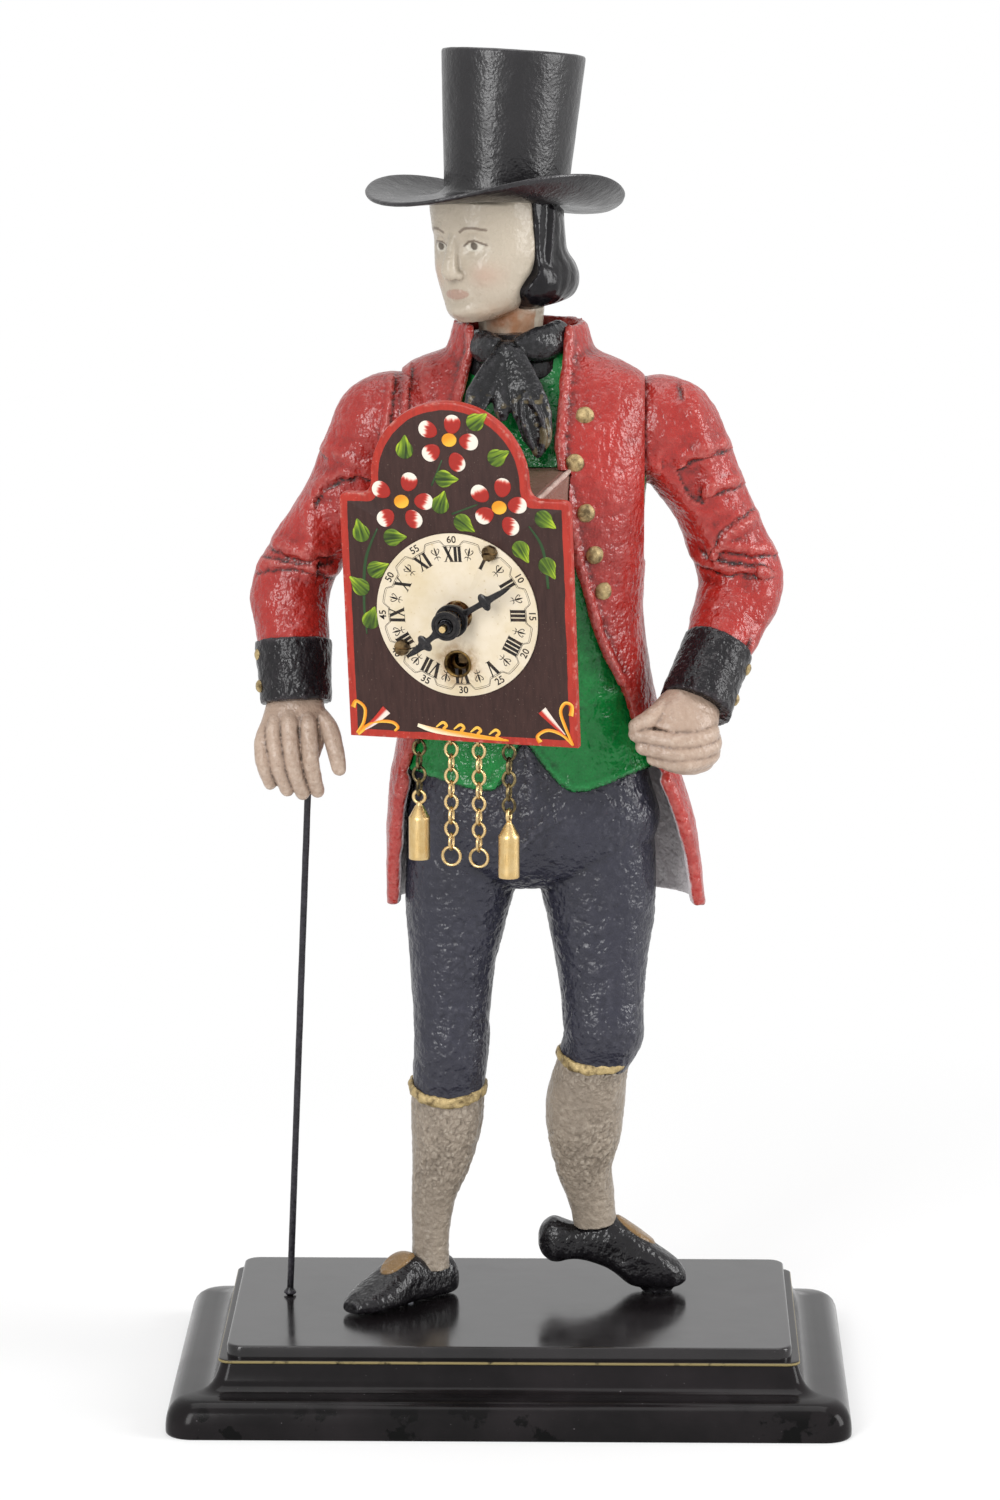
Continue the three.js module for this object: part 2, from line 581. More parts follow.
// Figure: waist screw and chest screw run from the back through the castings
const BODY_SCREW = { radius: 1.6, head: 3.2, headHeight: 1.8, front: -9, x: 5 };
const WAIST_SCREW_AT = 175;
const CHEST_SCREW_AT = 206;
const backOf = (rows, height) => {
  const fine = smooth(rows, 6);
  const near = fine.reduce((a, b) => (Math.abs(b[0] - height) < Math.abs(a[0] - height) ? b : a));
  return near[2] + near[5];
};
const bodyScrewBack = (height) => backOf(COAT, height) - 3.2;
const bodyScrewHole = (height) => {
  const back = bodyScrewBack(height);
  const x = BODY_SCREW.x;
  const shank = bar(vec(x, BODY_SCREW.front - FIT, height), vec(x, back, height), BODY_SCREW.radius + FIT);
  const sink = bar(vec(x, back - FIT, height), vec(x, back + PAST.screw, height), BODY_SCREW.head + FIT, 10);
  return shank.add(sink);
};
const bodyScrew = (height) => {
  const length = bodyScrewBack(height) - BODY_SCREW.front;
  return screw(BODY_SCREW.radius, length, BODY_SCREW.head, BODY_SCREW.headHeight)
    .rotate([90, 0, 0]).translate([BODY_SCREW.x, bodyScrewBack(height), height]);
};

// Legs
function shoe(rows, heel) {
  const along = vec(1, 0, 0).applyAxisAngle(UP, radians(heel.turn));
  const across = along.clone().cross(UP);
  return skin(rows.map(([distance, width, sole, upper]) => {
    const middle = sole + (upper - sole) * 0.42;
    const centre = vec(heel.at[0], heel.at[1], middle).addScaledVector(along, distance);
    return section(centre, across, UP, [width, upper - middle, middle - sole], 10, 2.6);
  }));
}

// A band round a limb, taken from the limb's own sections
function garter(rows, height) {
  const near = (z) => {
    const fine = smooth(rows, 8);
    return fine.reduce((a, b) => (Math.abs(b[2] - z) < Math.abs(a[2] - z) ? b : a));
  };
  const band = [1, 0.5, 0].map((t, i) => {
    const row = near(height + (t - 0.5) * GARTER.height).slice();
    const out = i === 1 ? GARTER.out : GARTER.out * 0.4;
    return [row[0], row[1], height + (t - 0.5) * GARTER.height, row[3] + out, row[4] + out, row[5] + out];
  });
  return limb(band);
}

function legsSolid() {
  const pad = bar(vec(LEFT_FOOT_AT[0], LEFT_FOOT_AT[1], 0), vec(LEFT_FOOT_AT[0], LEFT_FOOT_AT[1], TOE_PAD.height),
    TOE_PAD.radius, 12);
  const whole = Manifold.union([
    stack(PELVIS, { turn: straight }),
    limb(RIGHT_LEG),
    limb(LEFT_LEG),
    garter(RIGHT_LEG, RIGHT_GARTER_AT),
    garter(LEFT_LEG, LEFT_GARTER_AT),
    shoe(RIGHT_SHOE, RIGHT_HEEL),
    shoe(LEFT_SHOE, LEFT_HEEL),
    pad,
  ]);
  const drill = ([x, y]) => bar(vec(x, y, -1), vec(x, y, FOOT_SCREW.reach + FIT), FOOT_SCREW.radius + FIT);
  return footPlaces.reduce((body, at) => body.subtract(drill(at)), whole)
    .subtract(bodyScrewHole(WAIST_SCREW_AT))
    .trimByPlane([0, 0, 1], 0);
}

// Everything in front of the line between the castings
function legsFrontMask(shift) {
  const reach = 80;
  const half = (line, x0, x1) => {
    const points = line.map(([y, z]) => [y + shift, z]);
    return sideways([[-reach, line[0][1]], ...points, [-reach, line[line.length - 1][1]]], x0, x1 - x0);
  };
  return half(RIGHT_PARTING, -reach, PARTING_MIDDLE).add(half(LEFT_PARTING, PARTING_MIDDLE - 0.01, reach));
}

// Torso
const openingShape = () => {
  const right = OPENING.map(([z, , x]) => [x, z]);
  const left = OPENING.map(([z, x]) => [x, z]).reverse();
  return outline([...right, ...left]);
};

// Where the coat's front lies at a place across and a height
function coatFront(x, height) {
  const fine = smooth(COAT, 8);
  const near = fine.reduce((a, b) => (Math.abs(b[0] - height) < Math.abs(a[0] - height) ? b : a));
  const [, cx, cy, width, ahead] = near;
  const turn = torsoTurn(height);
  for (let angle = 0; angle <= Math.PI; angle += 0.01) {
    const bend = (v) => Math.sign(v) * Math.abs(v) ** (2 / BODY_POWER);
    const point = vec(width * bend(Math.cos(angle)), -ahead * bend(Math.sin(angle)), 0).applyAxisAngle(UP, turn);
    if (point.x + cx <= x) {
      return { at: vec(point.x + cx, point.y + cy, height), out: vec(point.x / width, point.y / ahead, 0).normalize() };
    }
  }
  return null;
}

function dome(at, out, radius, height) {
  const profile = [[0, -height], [radius, -height], [radius, 0], [radius * 0.72, height * 0.7], [0, height]];
  const geometry = new THREE.LatheGeometry(profile.map(([r, y]) => new THREE.Vector2(r, y)), 7);
  const turn = new THREE.Quaternion().setFromUnitVectors(vec(0, 1, 0), out);
  return solid(geometry.applyQuaternion(turn).translate(at.x, at.y, at.z));
}

const clockTurn = new THREE.Matrix4().makeRotationFromEuler(
  new THREE.Euler(radians(CLOCK.tip), 0, radians(CLOCK.turn), 'ZXY'));
const clockPlace = clockTurn.clone().setPosition(...CLOCK.at);
const inFigure = (body) => body.transform(clockPlace.elements);

// The recess in the chest that the clock case sits in, and the case screws' holes
function caseSeat() {
  const pocket = block(
    [-CASE.halfWidth - FIT, -PAST.pocket, CASE.bottom - FIT], [CASE.halfWidth + FIT, CASE.back + FIT, CASE.top + FIT]);
  const holes = CASE_SCREW.heights.map((z) => bar(
    vec(0, CASE.back - 1, z), vec(0, CASE.back + CASE_SCREW.reach + FIT, z), CASE_SCREW.radius + FIT, 8));
  return inFigure(Manifold.union([pocket, ...holes]));
}

const neckAt = (height) => vec(HEAD.at[0] + NECK.right, HEAD.at[1] + NECK.back, HEAD.at[2] + height);

function torsoSolid() {
  const { wide, high } = PAST;
  const open = upright(openingShape(), -wide, wide);
  const trunk = stack(TRUNK).trimByPlane([0, 0, 1], HEM)
    .subtract(upright(outline(WAIST_NOTCH), -wide, wide - 4));
  const collar = stack(COLLAR)
    .subtract(stack(COLLAR.map(([z, ...row]) => [z + 5, ...row]), { grow: -COLLAR_WALL }));
  const coat = stack(COAT).add(collar).subtract(open);
  const ventShape = outline([
    [VENT.x - VENT.width / 2, VENT.top], [VENT.x - VENT.spread / 2, TAIL_END - 5],
    [VENT.x + VENT.spread / 2, TAIL_END - 5], [VENT.x + VENT.width / 2, VENT.top]]);
  const tails = stack(SKIRT, { turn: straight })
    .subtract(stack(SKIRT, { turn: straight, grow: -SKIRT_WALL }))
    .trimByPlane([0, 0, 1], TAIL_END)
    .subtract(sideways(TAIL_FRONT, -wide, 2 * wide))
    .subtract(upright(ventShape, 8, wide));
  const buttons = BUTTONS.map(([x, z]) => {
    const { at, out } = coatFront(x, z);
    return dome(at, out, BUTTON.radius, BUTTON.dome);
  });
  const cloth = Manifold.union([
    stack(NECKCLOTH), ellipsoid(KNOT.at, KNOT.size), limb(CRAVAT_RIGHT, { count: 8 }), limb(CRAVAT_LEFT, { count: 8 })]);
  const neckHole = bar(neckAt(NECK.bottom - FIT), neckAt(NECK.top + PAST.neck), NECK.radius + FIT, 14);
  const armCuts = [
    block([ARMHOLE.left, -wide, ARMHOLE.bottom], [wide, wide, high]),
    block([-wide, -wide, ARMHOLE.bottom], [ARMHOLE.right, wide, high]),
    tenon(LEFT_ARM, ARMHOLE.left, -1, FIT),
    tenon(RIGHT_ARM, ARMHOLE.right, 1, FIT),
  ];
  const cuts = Manifold.union([
    stack(PELVIS, { turn: straight, grow: FIT }), neckHole, headForm(FIT), caseSeat(),
    bodyScrewHole(WAIST_SCREW_AT), bodyScrewHole(CHEST_SCREW_AT), ...armCuts]);
  return Manifold.union([trunk, coat, tails, cloth, ...buttons]).subtract(cuts);
}

// Arms
function tenon(arm, x, inward, grow) {
  const [, , shoulder] = arm[1];
  const height = shoulder - TENON.drop;
  const from = vec(x - inward * TENON.root, TORSO_PARTING + FIT / 2, height);
  const to = vec(x + inward * (TENON.length + grow), TORSO_PARTING + FIT / 2, height);
  return bar(from, to, TENON.radius + grow, 10);
}

function cuffButtons(rows, outward) {
  return [0.3, 0.75].map((t) => {
    const from = vec(...rows[0].slice(0, 3));
    const to = vec(...rows[2].slice(0, 3));
    const out = vec(...outward).normalize();
    const at = from.lerp(to, t).addScaledVector(out, rows[1][3] - 0.3);
    return dome(at, out, CUFF_BUTTON.radius, CUFF_BUTTON.dome);
  });
}

function leftArmSolid() {
  const fingers = Array.from({ length: FIST_FINGER.count }, (_, i) => finger(
    FIST_FIRST.map((p) => p.map((v, c) => v + i * FIST_FINGER.step[c])), FIST_FINGER.radius));
  const arm = Manifold.union([
    limb(LEFT_ARM), limb(LEFT_CUFF), limb(LEFT_FIST), ...fingers, ...cuffButtons(LEFT_CUFF, [1, -0.2, -0.3])]);
  return arm.trimByPlane([1, 0, 0], ARMHOLE.left + FIT).add(tenon(LEFT_ARM, ARMHOLE.left, -1, 0));
}

function rightArmSolid() {
  const fingers = Array.from({ length: FINGER.count }, (_, i) => finger(
    FIRST_FINGER.map(([x, y, z], k) => [x + i * (FINGER.pitch - k * 0.25), y, z - i * FINGER.drop]), FINGER.radius));
  const arm = Manifold.union([
    limb(RIGHT_ARM), limb(RIGHT_CUFF), limb(RIGHT_PALM), ...fingers,
    finger(RIGHT_THUMB, FINGER.radius), ...cuffButtons(RIGHT_CUFF, [-1, -0.35, 0])]);
  const grip = bar(caneFoot, caneTop.clone().addScaledVector(caneAlong, FIT), CANE.radius + FIT);
  const peg = tenon(RIGHT_ARM, ARMHOLE.right, 1, 0);
  return arm.trimByPlane([-1, 0, 0], -ARMHOLE.right + FIT).add(peg).subtract(grip);
}

function caneSolid() {
  const collar = bar(caneFoot.clone().addScaledVector(caneAlong, FIT * 2),
    caneFoot.clone().addScaledVector(caneAlong, 2.2), CANE.collar, 8, CANE.radius);
  return bar(caneEnd, caneTop, CANE.radius).add(collar);
}

// Head and hat
const hatTurn = new THREE.Quaternion().setFromAxisAngle(vec(0, 1, 0), radians(HAT.leanSide))
  .multiply(new THREE.Quaternion().setFromAxisAngle(vec(1, 0, 0), radians(-HAT.leanBack)));
const hatAxis = UP.clone().applyQuaternion(hatTurn);
const hatPlace = new THREE.Matrix4().makeRotationFromQuaternion(
  hatTurn.clone().multiply(new THREE.Quaternion().setFromAxisAngle(UP, radians(HAT.turn)))).setPosition(...HAT.at);

const placeHead = (body) => body.rotate([0, 0, HEAD.turn]).rotate([0, HEAD.lean, 0]).translate(HEAD.at);

// Skull and hair, grown all round for their clearance in the collar
function headForm(grow) {
  const face = stack(SKULL, { turn: straight, power: 2.2, grow });
  const hair = stack(HAIR, { turn: straight, power: 2.2, grow }).trimByPlane([0, 1, 0], -HAIRLINE - grow);
  return placeHead(face.add(hair));
}

function headSolid() {
  const eyes = [-1, 1].map((s) => ellipsoid([s * EYE.at[0], EYE.at[1], EYE.at[2]], EYE.size));
  const features = [limb(NOSE, { count: 8 }), ellipsoid(LIPS.at, LIPS.size), ellipsoid(CHIN.at, CHIN.size)];
  const neck = bar(neckAt(NECK.bottom), neckAt(NECK.top), NECK.radius, 14);
  const placed = Manifold.union([headForm(0), placeHead(Manifold.union([...eyes, ...features])), neck]);
  const seat = vec(...HAT.at).dot(hatAxis) - BRIM.thick / 2 - FIT;
  const peg = bar(vec(0, 0, -6), vec(0, 0, 5), CROWN.side - CROWN.wall - 2, 12).transform(hatPlace.elements);
  return placed.trimByPlane(hatAxis.clone().negate().toArray(), -seat).add(peg);
}

function hatSolid() {
  const flare = (z) => 1 + (CROWN.flare - 1) * (z / CROWN.height);
  const wall = (z, inset) => [CROWN.side * flare(z) - inset, CROWN.front * flare(z) - inset, z];
  const half = BRIM.thick / 2;
  const spread = (t, z) => [
    CROWN.side + (BRIM.side - CROWN.side) * t, CROWN.front + (BRIM.front - CROWN.front) * t, z];
  const inside = CROWN.height - CROWN.wall;
  const profile = [
    [0.6, 0.6, CROWN.height], wall(CROWN.height, 1.2), wall(CROWN.height - 0.7, 0),
    wall(CROWN.height / 2, 0), wall(2.6, 0), spread(0.06, half + 0.3),
    spread(0.35, half), spread(0.7, half), spread(0.98, half), spread(1, 0), spread(0.98, -half),
    spread(0.7, -half), spread(0.35, -half), [...wall(0, CROWN.wall).slice(0, 2), -half],
    wall(inside, CROWN.wall), [0.6, 0.6, inside],
  ];
  const count = 20;
  const rings = profile.map(([side, front, z]) => Array.from({ length: count }, (_, i) => {
    const angle = (2 * Math.PI * i) / count;
    const out = THREE.MathUtils.clamp((side - CROWN.side) / (BRIM.side - CROWN.side), 0, 1);
    const onBrim = Math.abs(z) < 2 ? out * out : 0;
    const lifted = BRIM.lift * Math.cos(angle - radians(BRIM.liftAt));
    const curl = BRIM.roll * Math.cos(angle) ** 2 - BRIM.dip * Math.sin(angle) ** 2 + lifted;
    const [right, back] = BRIM.shift.map((v) => v * out);
    return vec(side * Math.cos(angle) + right, front * Math.sin(angle) + back, z + curl * onBrim);
  }));
  return skin(rings);
}

// Clock: board, dial and case
function boardShape() {
  const b = BOARD;
  const left = ARCH.x - ARCH.halfWidth;
  const right = ARCH.x + ARCH.halfWidth;
  const shape = new THREE.Shape();
  shape.moveTo(-b.halfWidth, b.bottom);
  shape.lineTo(b.halfWidth, b.bottom);
  shape.lineTo(b.halfWidth, b.shoulder - b.corner);
  shape.quadraticCurveTo(b.halfWidth, b.shoulder, b.halfWidth - b.corner, b.shoulder);
  shape.lineTo(right + ARCH.fillet, b.shoulder);
  shape.quadraticCurveTo(right, b.shoulder, right, ARCH.spring);
  shape.absellipse(ARCH.x, ARCH.spring, ARCH.halfWidth, ARCH.top - ARCH.spring, 0, Math.PI, false, 0);
  shape.quadraticCurveTo(left, b.shoulder, left - ARCH.fillet, b.shoulder);
  shape.lineTo(-b.halfWidth + b.corner, b.shoulder);
  shape.quadraticCurveTo(-b.halfWidth, b.shoulder, -b.halfWidth, b.shoulder - b.corner);
  return shape;
}

const rod = (x, z, y0, y1, radius, sides = 8) => bar(vec(x, y0, z), vec(x, y1, z), radius, sides);

// Holes that go through both the dial and the board
const frontHoles = () => Manifold.union([
  rod(0, 0, -10, 10, DIAL.hole, 12),
  rod(WINDING.x, WINDING.z, -10, 10, WINDING.hole, 12),
  ...DIAL_SCREWS.map(([x, z]) => rod(x, z, -10, 10, DIAL_SCREW.radius + FIT, 8)),
]);

const boardSolid = () => upright(boardShape(), 0, BOARD.thick, 8).subtract(frontHoles());
const dialSolid = () => rod(0, 0, -FIT - DIAL.thick, -FIT, DIAL.radius, 28).subtract(frontHoles());

const caseFront = BOARD.thick + FIT;
const eyeTop = CASE.bottom + CASE.wall;
function caseSolid() {
  const c = CASE;
  const middle = (c.top + c.bottom) / 2;
  const shell = (inset, front, back) => skin([front, back].map((y) => roundedRing(
    c.halfWidth - inset, (c.top - c.bottom) / 2 - inset, c.corner, 0, 2)
    .map((p) => vec(p.x, y, p.y + middle))));
  const holes = [
    ...CASE_SCREW.heights.map((z) => rod(0, z, c.back - 5, c.back + 5, CASE_SCREW.radius + FIT, 8)),
    ...CHAINS.map(({ x }) => bar(vec(x, EYE_RING.back, c.bottom - 2), vec(x, EYE_RING.back, c.bottom + 4),
      EYE_RING.shank + FIT, 6)),
  ];
  return shell(0, caseFront, c.back).subtract(shell(c.wall, caseFront - 1, c.back - c.wall))
    .subtract(Manifold.union(holes));
}

// Screws lying along y, their heads to the front
const lyingScrew = (size, x, z, seat, back) => screw(size.radius, back - seat, size.head, size.headHeight, size.slot)
  .rotate([-90, 0, 0]).translate([x, seat, z]);
const dialScrew = ([x, z]) => lyingScrew(DIAL_SCREW, x, z, -2 * FIT - DIAL.thick, MOVEMENT.front + MOVEMENT.thick);
const caseScrew = (z) => lyingScrew(CASE_SCREW, 0, z, CASE.back - CASE.wall - FIT, CASE.back + CASE_SCREW.reach);

// Movement
const polar = (radius, degrees) => [radius * Math.cos(radians(degrees)), radius * Math.sin(radians(degrees))];
const greatAt = [WINDING.x, WINDING.z];
const greatDistance = Math.hypot(...greatAt);
const greatModule = (2 * greatDistance) / (TRAIN.great + TRAIN.centrePinion);
const centreModule = (2 * CENTRE_WHEEL.radius) / TRAIN.centre;
const thirdModule = (2 * THIRD_WHEEL.radius) / TRAIN.third;
const thirdAt = polar(centreModule * (TRAIN.centre + TRAIN.thirdPinion) / 2, THIRD_WHEEL.angle);
const escapeStep = polar(thirdModule * (TRAIN.third + TRAIN.escapePinion) / 2, ESCAPE_WHEEL.angle);
const escapeAt = [thirdAt[0] + escapeStep[0], thirdAt[1] + escapeStep[1]];
const leverAt = [escapeAt[0], escapeAt[1] + LEVER.rise];
const cannonModule = (2 * MOTION.distance) / (MOTION.cannon + MOTION.minute);
const hourModule = (2 * MOTION.distance) / (MOTION.minutePinion + MOTION.hour);
const minuteAt = polar(MOTION.distance, MOTION.angle);
const pillarPlaces = [[-1, PILLAR.low], [1, PILLAR.low], [-1, PILLAR.high], [1, PILLAR.high]]
  .map(([s, z]) => [s * PILLAR.x, z]);
const plateBack = MOVEMENT.back + MOVEMENT.thick;

// Teeth: half width of the tip as a share of the pitch, and heights in modules
const WHEEL_TOOTH = { tip: 0.06, add: 0.6, ded: 1.3 };
const LEAF = { tip: 0.08, add: 0.5, ded: 1.3 };

function gearShape(teeth, module, tooth, towards, gap) {
  const pitch = (module * teeth) / 2;
  const step = (2 * Math.PI) / teeth;
  const phase = radians(towards) + (gap ? step / 2 : 0);
  const points = [];
  for (let i = 0; i < teeth; i += 1) {
    const middle = phase + i * step;
    [[-0.5, -tooth.ded], [-tooth.tip, tooth.add], [tooth.tip, tooth.add]]
      .forEach(([share, rise]) => {
        const r = pitch + rise * module;
        const angle = middle + share * step;
        points.push([r * Math.cos(angle), r * Math.sin(angle)]);
      });
  }
  return outline(points);
}

// A wheel with round windows between its arms
function wheel(teeth, module, towards, front, thick, windows = 0) {
  const pitch = (module * teeth) / 2;
  const cut = Array.from({ length: windows }, (_, i) => {
    const [x, z] = polar(pitch * 0.56, (360 * i) / windows);
    return rod(x, z, front - 1, front + thick + 1, pitch * 0.23, 6);
  });
  const disc = upright(gearShape(teeth, module, WHEEL_TOOTH, towards, false), front, thick);
  return cut.length ? disc.subtract(Manifold.union(cut)) : disc;
}
const pinion = (teeth, module, towards, front, thick) => upright(
  gearShape(teeth, module, LEAF, towards, true), front, thick);

const heading = ([x, z]) => THREE.MathUtils.radToDeg(Math.atan2(z, x));
const greatHeading = heading([-greatAt[0], -greatAt[1]]);
const escapeHeading = ESCAPE_WHEEL.angle;

function frontPlateSolid() {
  const m = MOVEMENT;
  const body = block([-m.halfWidth, m.front, m.bottom], [m.halfWidth, m.front + m.thick, m.top]);
  const bore = ([x, z], radius) => rod(x, z, m.front - 1, m.front + m.thick + 1, radius + FIT, 6);
  const holes = [
    bore([0, 0], CENTRE_WHEEL.arbor), bore(greatAt, ARBOR.radius),
    ...[thirdAt, escapeAt, leverAt, [BALANCE.x, BALANCE.z]].map((at) => bore(at, PIVOT)),
    ...DIAL_SCREWS.map((at) => bore(at, DIAL_SCREW.radius)),
    ...pillarPlaces.map((at) => bore(at, PILLAR.end)),
  ];
  const stud = rod(...minuteAt, HOUR_WHEEL.front, m.front + 0.01, MINUTE_WHEEL.stud);
  return body.subtract(Manifold.union(holes)).add(stud);
}

function backPlateSolid() {
  const m = MOVEMENT;
  const body = block([-m.halfWidth, m.back, m.bottom], [m.halfWidth, plateBack, m.top]);
  const bore = ([x, z], radius) => rod(x, z, m.back - 1, plateBack + 1, radius + FIT, 6);
  const holes = [
    bore([0, 0], CENTRE_WHEEL.arbor), bore(greatAt, ARBOR.radius),
    ...[thirdAt, escapeAt, leverAt, [BALANCE.x, BALANCE.z]].map((at) => bore(at, PIVOT)),
  ];
  const pillars = pillarPlaces.map(([x, z]) => rod(x, z, m.front + m.thick + FIT, m.back + 0.01, PILLAR.radius, 8)
    .add(rod(x, z, m.front - PILLAR.nutHeight - FIT, m.back, PILLAR.end, 6)));
  return Manifold.union([body.subtract(Manifold.union(holes)), ...pillars]);
}

const pillarNut = ([x, z]) => rod(x, z, MOVEMENT.front - PILLAR.nutHeight - FIT, MOVEMENT.front - FIT, PILLAR.nut, 6)
  .subtract(rod(x, z, 0, MOVEMENT.front, PILLAR.end + FIT, 6));

// The great wheel turns on the winding arbor, and the click on it holds the ratchet
function greatWheelSolid() {
  const g = GREAT_WHEEL;
  return wheel(TRAIN.great, greatModule, greatHeading, g.front, g.thick)
    .subtract(rod(0, 0, g.front - 1, g.front + g.thick + 1, ARBOR.radius + FIT, 10));
}

function windingArborSolid() {
  const points = [];
  for (let i = 0; i < RATCHET.teeth; i += 1) {
    points.push(polar(RATCHET.radius, (360 * i) / RATCHET.teeth));
    points.push(polar(RATCHET.radius - 1, (360 * (i + 0.12)) / RATCHET.teeth));
  }
  const square = block([-1.3, ARBOR.tip, -1.3], [1.3, MOVEMENT.front - 2, 1.3]);
  return Manifold.union([
    upright(outline(points), RATCHET.front, RATCHET.thick), square,
    rod(0, 0, MOVEMENT.front - 2.01, plateBack, ARBOR.radius, 10)]);
}

function clickSolid() {
  const tip = polar(RATCHET.radius + FIT, 62);
  const pivot = polar(RATCHET.radius + 3.2, 24);
  const heel = polar(RATCHET.radius + 1.9, 62);
  const shape = outline([tip, [pivot[0] + 0.6, pivot[1] - 1.2], [pivot[0] + 1.4, pivot[1] + 0.8], heel]);
  const pin = rod(...pivot, GREAT_WHEEL.front + GREAT_WHEEL.thick + FIT, RATCHET.front + 0.01, 0.8, 10);
  return upright(shape, RATCHET.front, RATCHET.thick).add(pin);
}

// A flat spiral strip standing along y
function spiral({ inner, outer, turns, strip, front, width }, stepsPerTurn = 10) {
  const count = turns * stepsPerTurn;
  return skin(Array.from({ length: count + 1 }, (_, i) => {
    const radius = inner + ((outer - inner) * i) / count;
    const [dx, dz] = polar(1, (360 * i) / stepsPerTurn);
    const corner = (r, y) => vec(r * dx, y, r * dz);
    return [corner(radius, front), corner(radius + strip, front),
      corner(radius + strip, front + width), corner(radius, front + width)];
  }));
}

function centreWheelSolid() {
  const c = CENTRE_WHEEL;
  return Manifold.union([
    wheel(TRAIN.centre, centreModule, THIRD_WHEEL.angle, c.front, c.thick, 3),
    pinion(TRAIN.centrePinion, greatModule, heading(greatAt),
      GREAT_WHEEL.front - FIT, GREAT_WHEEL.thick + PINION_OVERLAP),
    rod(0, 0, -ARBOR_TIP, plateBack, c.arbor, 8)]);
}

const pivotRod = () => rod(0, 0, MOVEMENT.front, plateBack, PIVOT, 6);

function thirdWheelSolid() {
  const t = THIRD_WHEEL;
  const overlap = PINION_OVERLAP;
  return Manifold.union([
    wheel(TRAIN.third, thirdModule, escapeHeading, t.front, t.thick),
    pinion(TRAIN.thirdPinion, centreModule, THIRD_WHEEL.angle + 180,
      CENTRE_WHEEL.front - overlap, CENTRE_WHEEL.thick + 2 * overlap),
    pivotRod()]);
}

function escapeWheelSolid() {
  const e = ESCAPE_WHEEL;
  const overlap = PINION_OVERLAP;
  const points = [];
  for (let i = 0; i < e.teeth; i += 1) {
    points.push(polar(e.radius, (360 * i) / e.teeth));
    points.push(polar(e.radius - 1.3, (360 * (i + 0.25)) / e.teeth));
    points.push(polar(e.radius - 1.3, (360 * (i + 0.7)) / e.teeth));
  }
  return Manifold.union([
    upright(outline(points), e.front, e.thick),
    pinion(TRAIN.escapePinion, thirdModule, escapeHeading + 180,
      THIRD_WHEEL.front - overlap, THIRD_WHEEL.thick + 2 * overlap),
    pivotRod()]);
}

// Anchor lever: two pallets that stand just clear of the escape wheel's teeth
function leverSolid() {
  const l = LEVER;
  const w = l.width;
  const reach = l.reach;
  const drop = l.rise - 1.4;
  const shape = outline([
    [-reach - w / 2, -drop], [-reach + w / 2, -drop], [-reach * 0.7 + w / 2, -w], [reach * 0.7 - w / 2, -w],
    [reach - w / 2, -drop], [reach + w / 2, -drop], [reach * 0.8, w], [-reach * 0.8, w]]);
  return upright(shape, ESCAPE_WHEEL.front, l.thick).add(pivotRod());
}

function balanceSolid() {
  const b = BALANCE;
  const rim = rod(0, 0, b.front, b.front + b.thick, b.radius, 14)
    .subtract(rod(0, 0, b.front - 1, b.front + b.thick + 1, b.radius - b.rim, 14));
  const arm = block([-b.radius + 0.3, b.front, -b.arm / 2], [b.radius - 0.3, b.front + b.thick, b.arm / 2]);
  return Manifold.union([rim, arm, pivotRod()]);
}

// Motion work behind the dial: cannon pinion, minute wheel and hour wheel
function cannonSolid() {
  const c = CANNON;
  return pinion(MOTION.cannon, cannonModule, MOTION.angle, c.front, c.back - c.front)
    .add(rod(0, 0, -MINUTE_HAND.front - MINUTE_HAND.thick, c.back, c.pipe, 10))
    .subtract(rod(0, 0, -PAST.hub, PAST.hub, CENTRE_WHEEL.arbor + FIT));
}

function minuteWheelSolid() {
  const m = MINUTE_WHEEL;
  const low = HOUR_WHEEL.front - FIT;
  return wheel(MOTION.minute, cannonModule, MOTION.angle + 180, m.front, m.thick)
    .add(pinion(MOTION.minutePinion, hourModule, MOTION.angle + 180, low, m.front - low + 0.01))
    .subtract(rod(0, 0, 0, PAST.hub, m.stud + FIT));
}

function hourWheelSolid() {
  const h = HOUR_WHEEL;
  return wheel(MOTION.hour, hourModule, MOTION.angle, h.front, h.thick)
    .add(rod(0, 0, -HOUR_HAND.front - HOUR_HAND.thick, h.front + h.thick, h.pipe, 10))
    .subtract(rod(0, 0, -PAST.hub, PAST.hub, CANNON.pipe + FIT, 10));
}

// Hands: a round boss and a blade with a cross-shaped swelling
function handSolid(hand, bore) {
  const b = HAND_BLADE;
  const middle = hand.reach * b.bulgeAt;
  const side = (s) => [
    [s * b.root, 0], [s * b.root * 0.7, middle - b.bulgeLength], [s * b.bulge, middle],
    [s * b.root * 0.7, middle + b.bulgeLength], [s * b.tip, hand.reach]];
  const blade = upright(outline([...side(1), ...side(-1).reverse()]), -hand.front, hand.thick);
  return blade.rotate([0, hand.angle, 0])
    .add(rod(0, 0, -hand.front - hand.thick, -hand.front + hand.bossBack, hand.boss, 14))
    .subtract(rod(0, 0, -PAST.hub, PAST.hubBack, bore + FIT, 10));
}

const handNut = () => rod(0, 0, -MINUTE_HAND.front - MINUTE_HAND.thick - FIT - HAND_NUT.height,
  -MINUTE_HAND.front - MINUTE_HAND.thick - FIT, HAND_NUT.radius, 12)
  .subtract(rod(0, 0, -PAST.hub, PAST.hubBack, CENTRE_WHEEL.arbor + FIT));

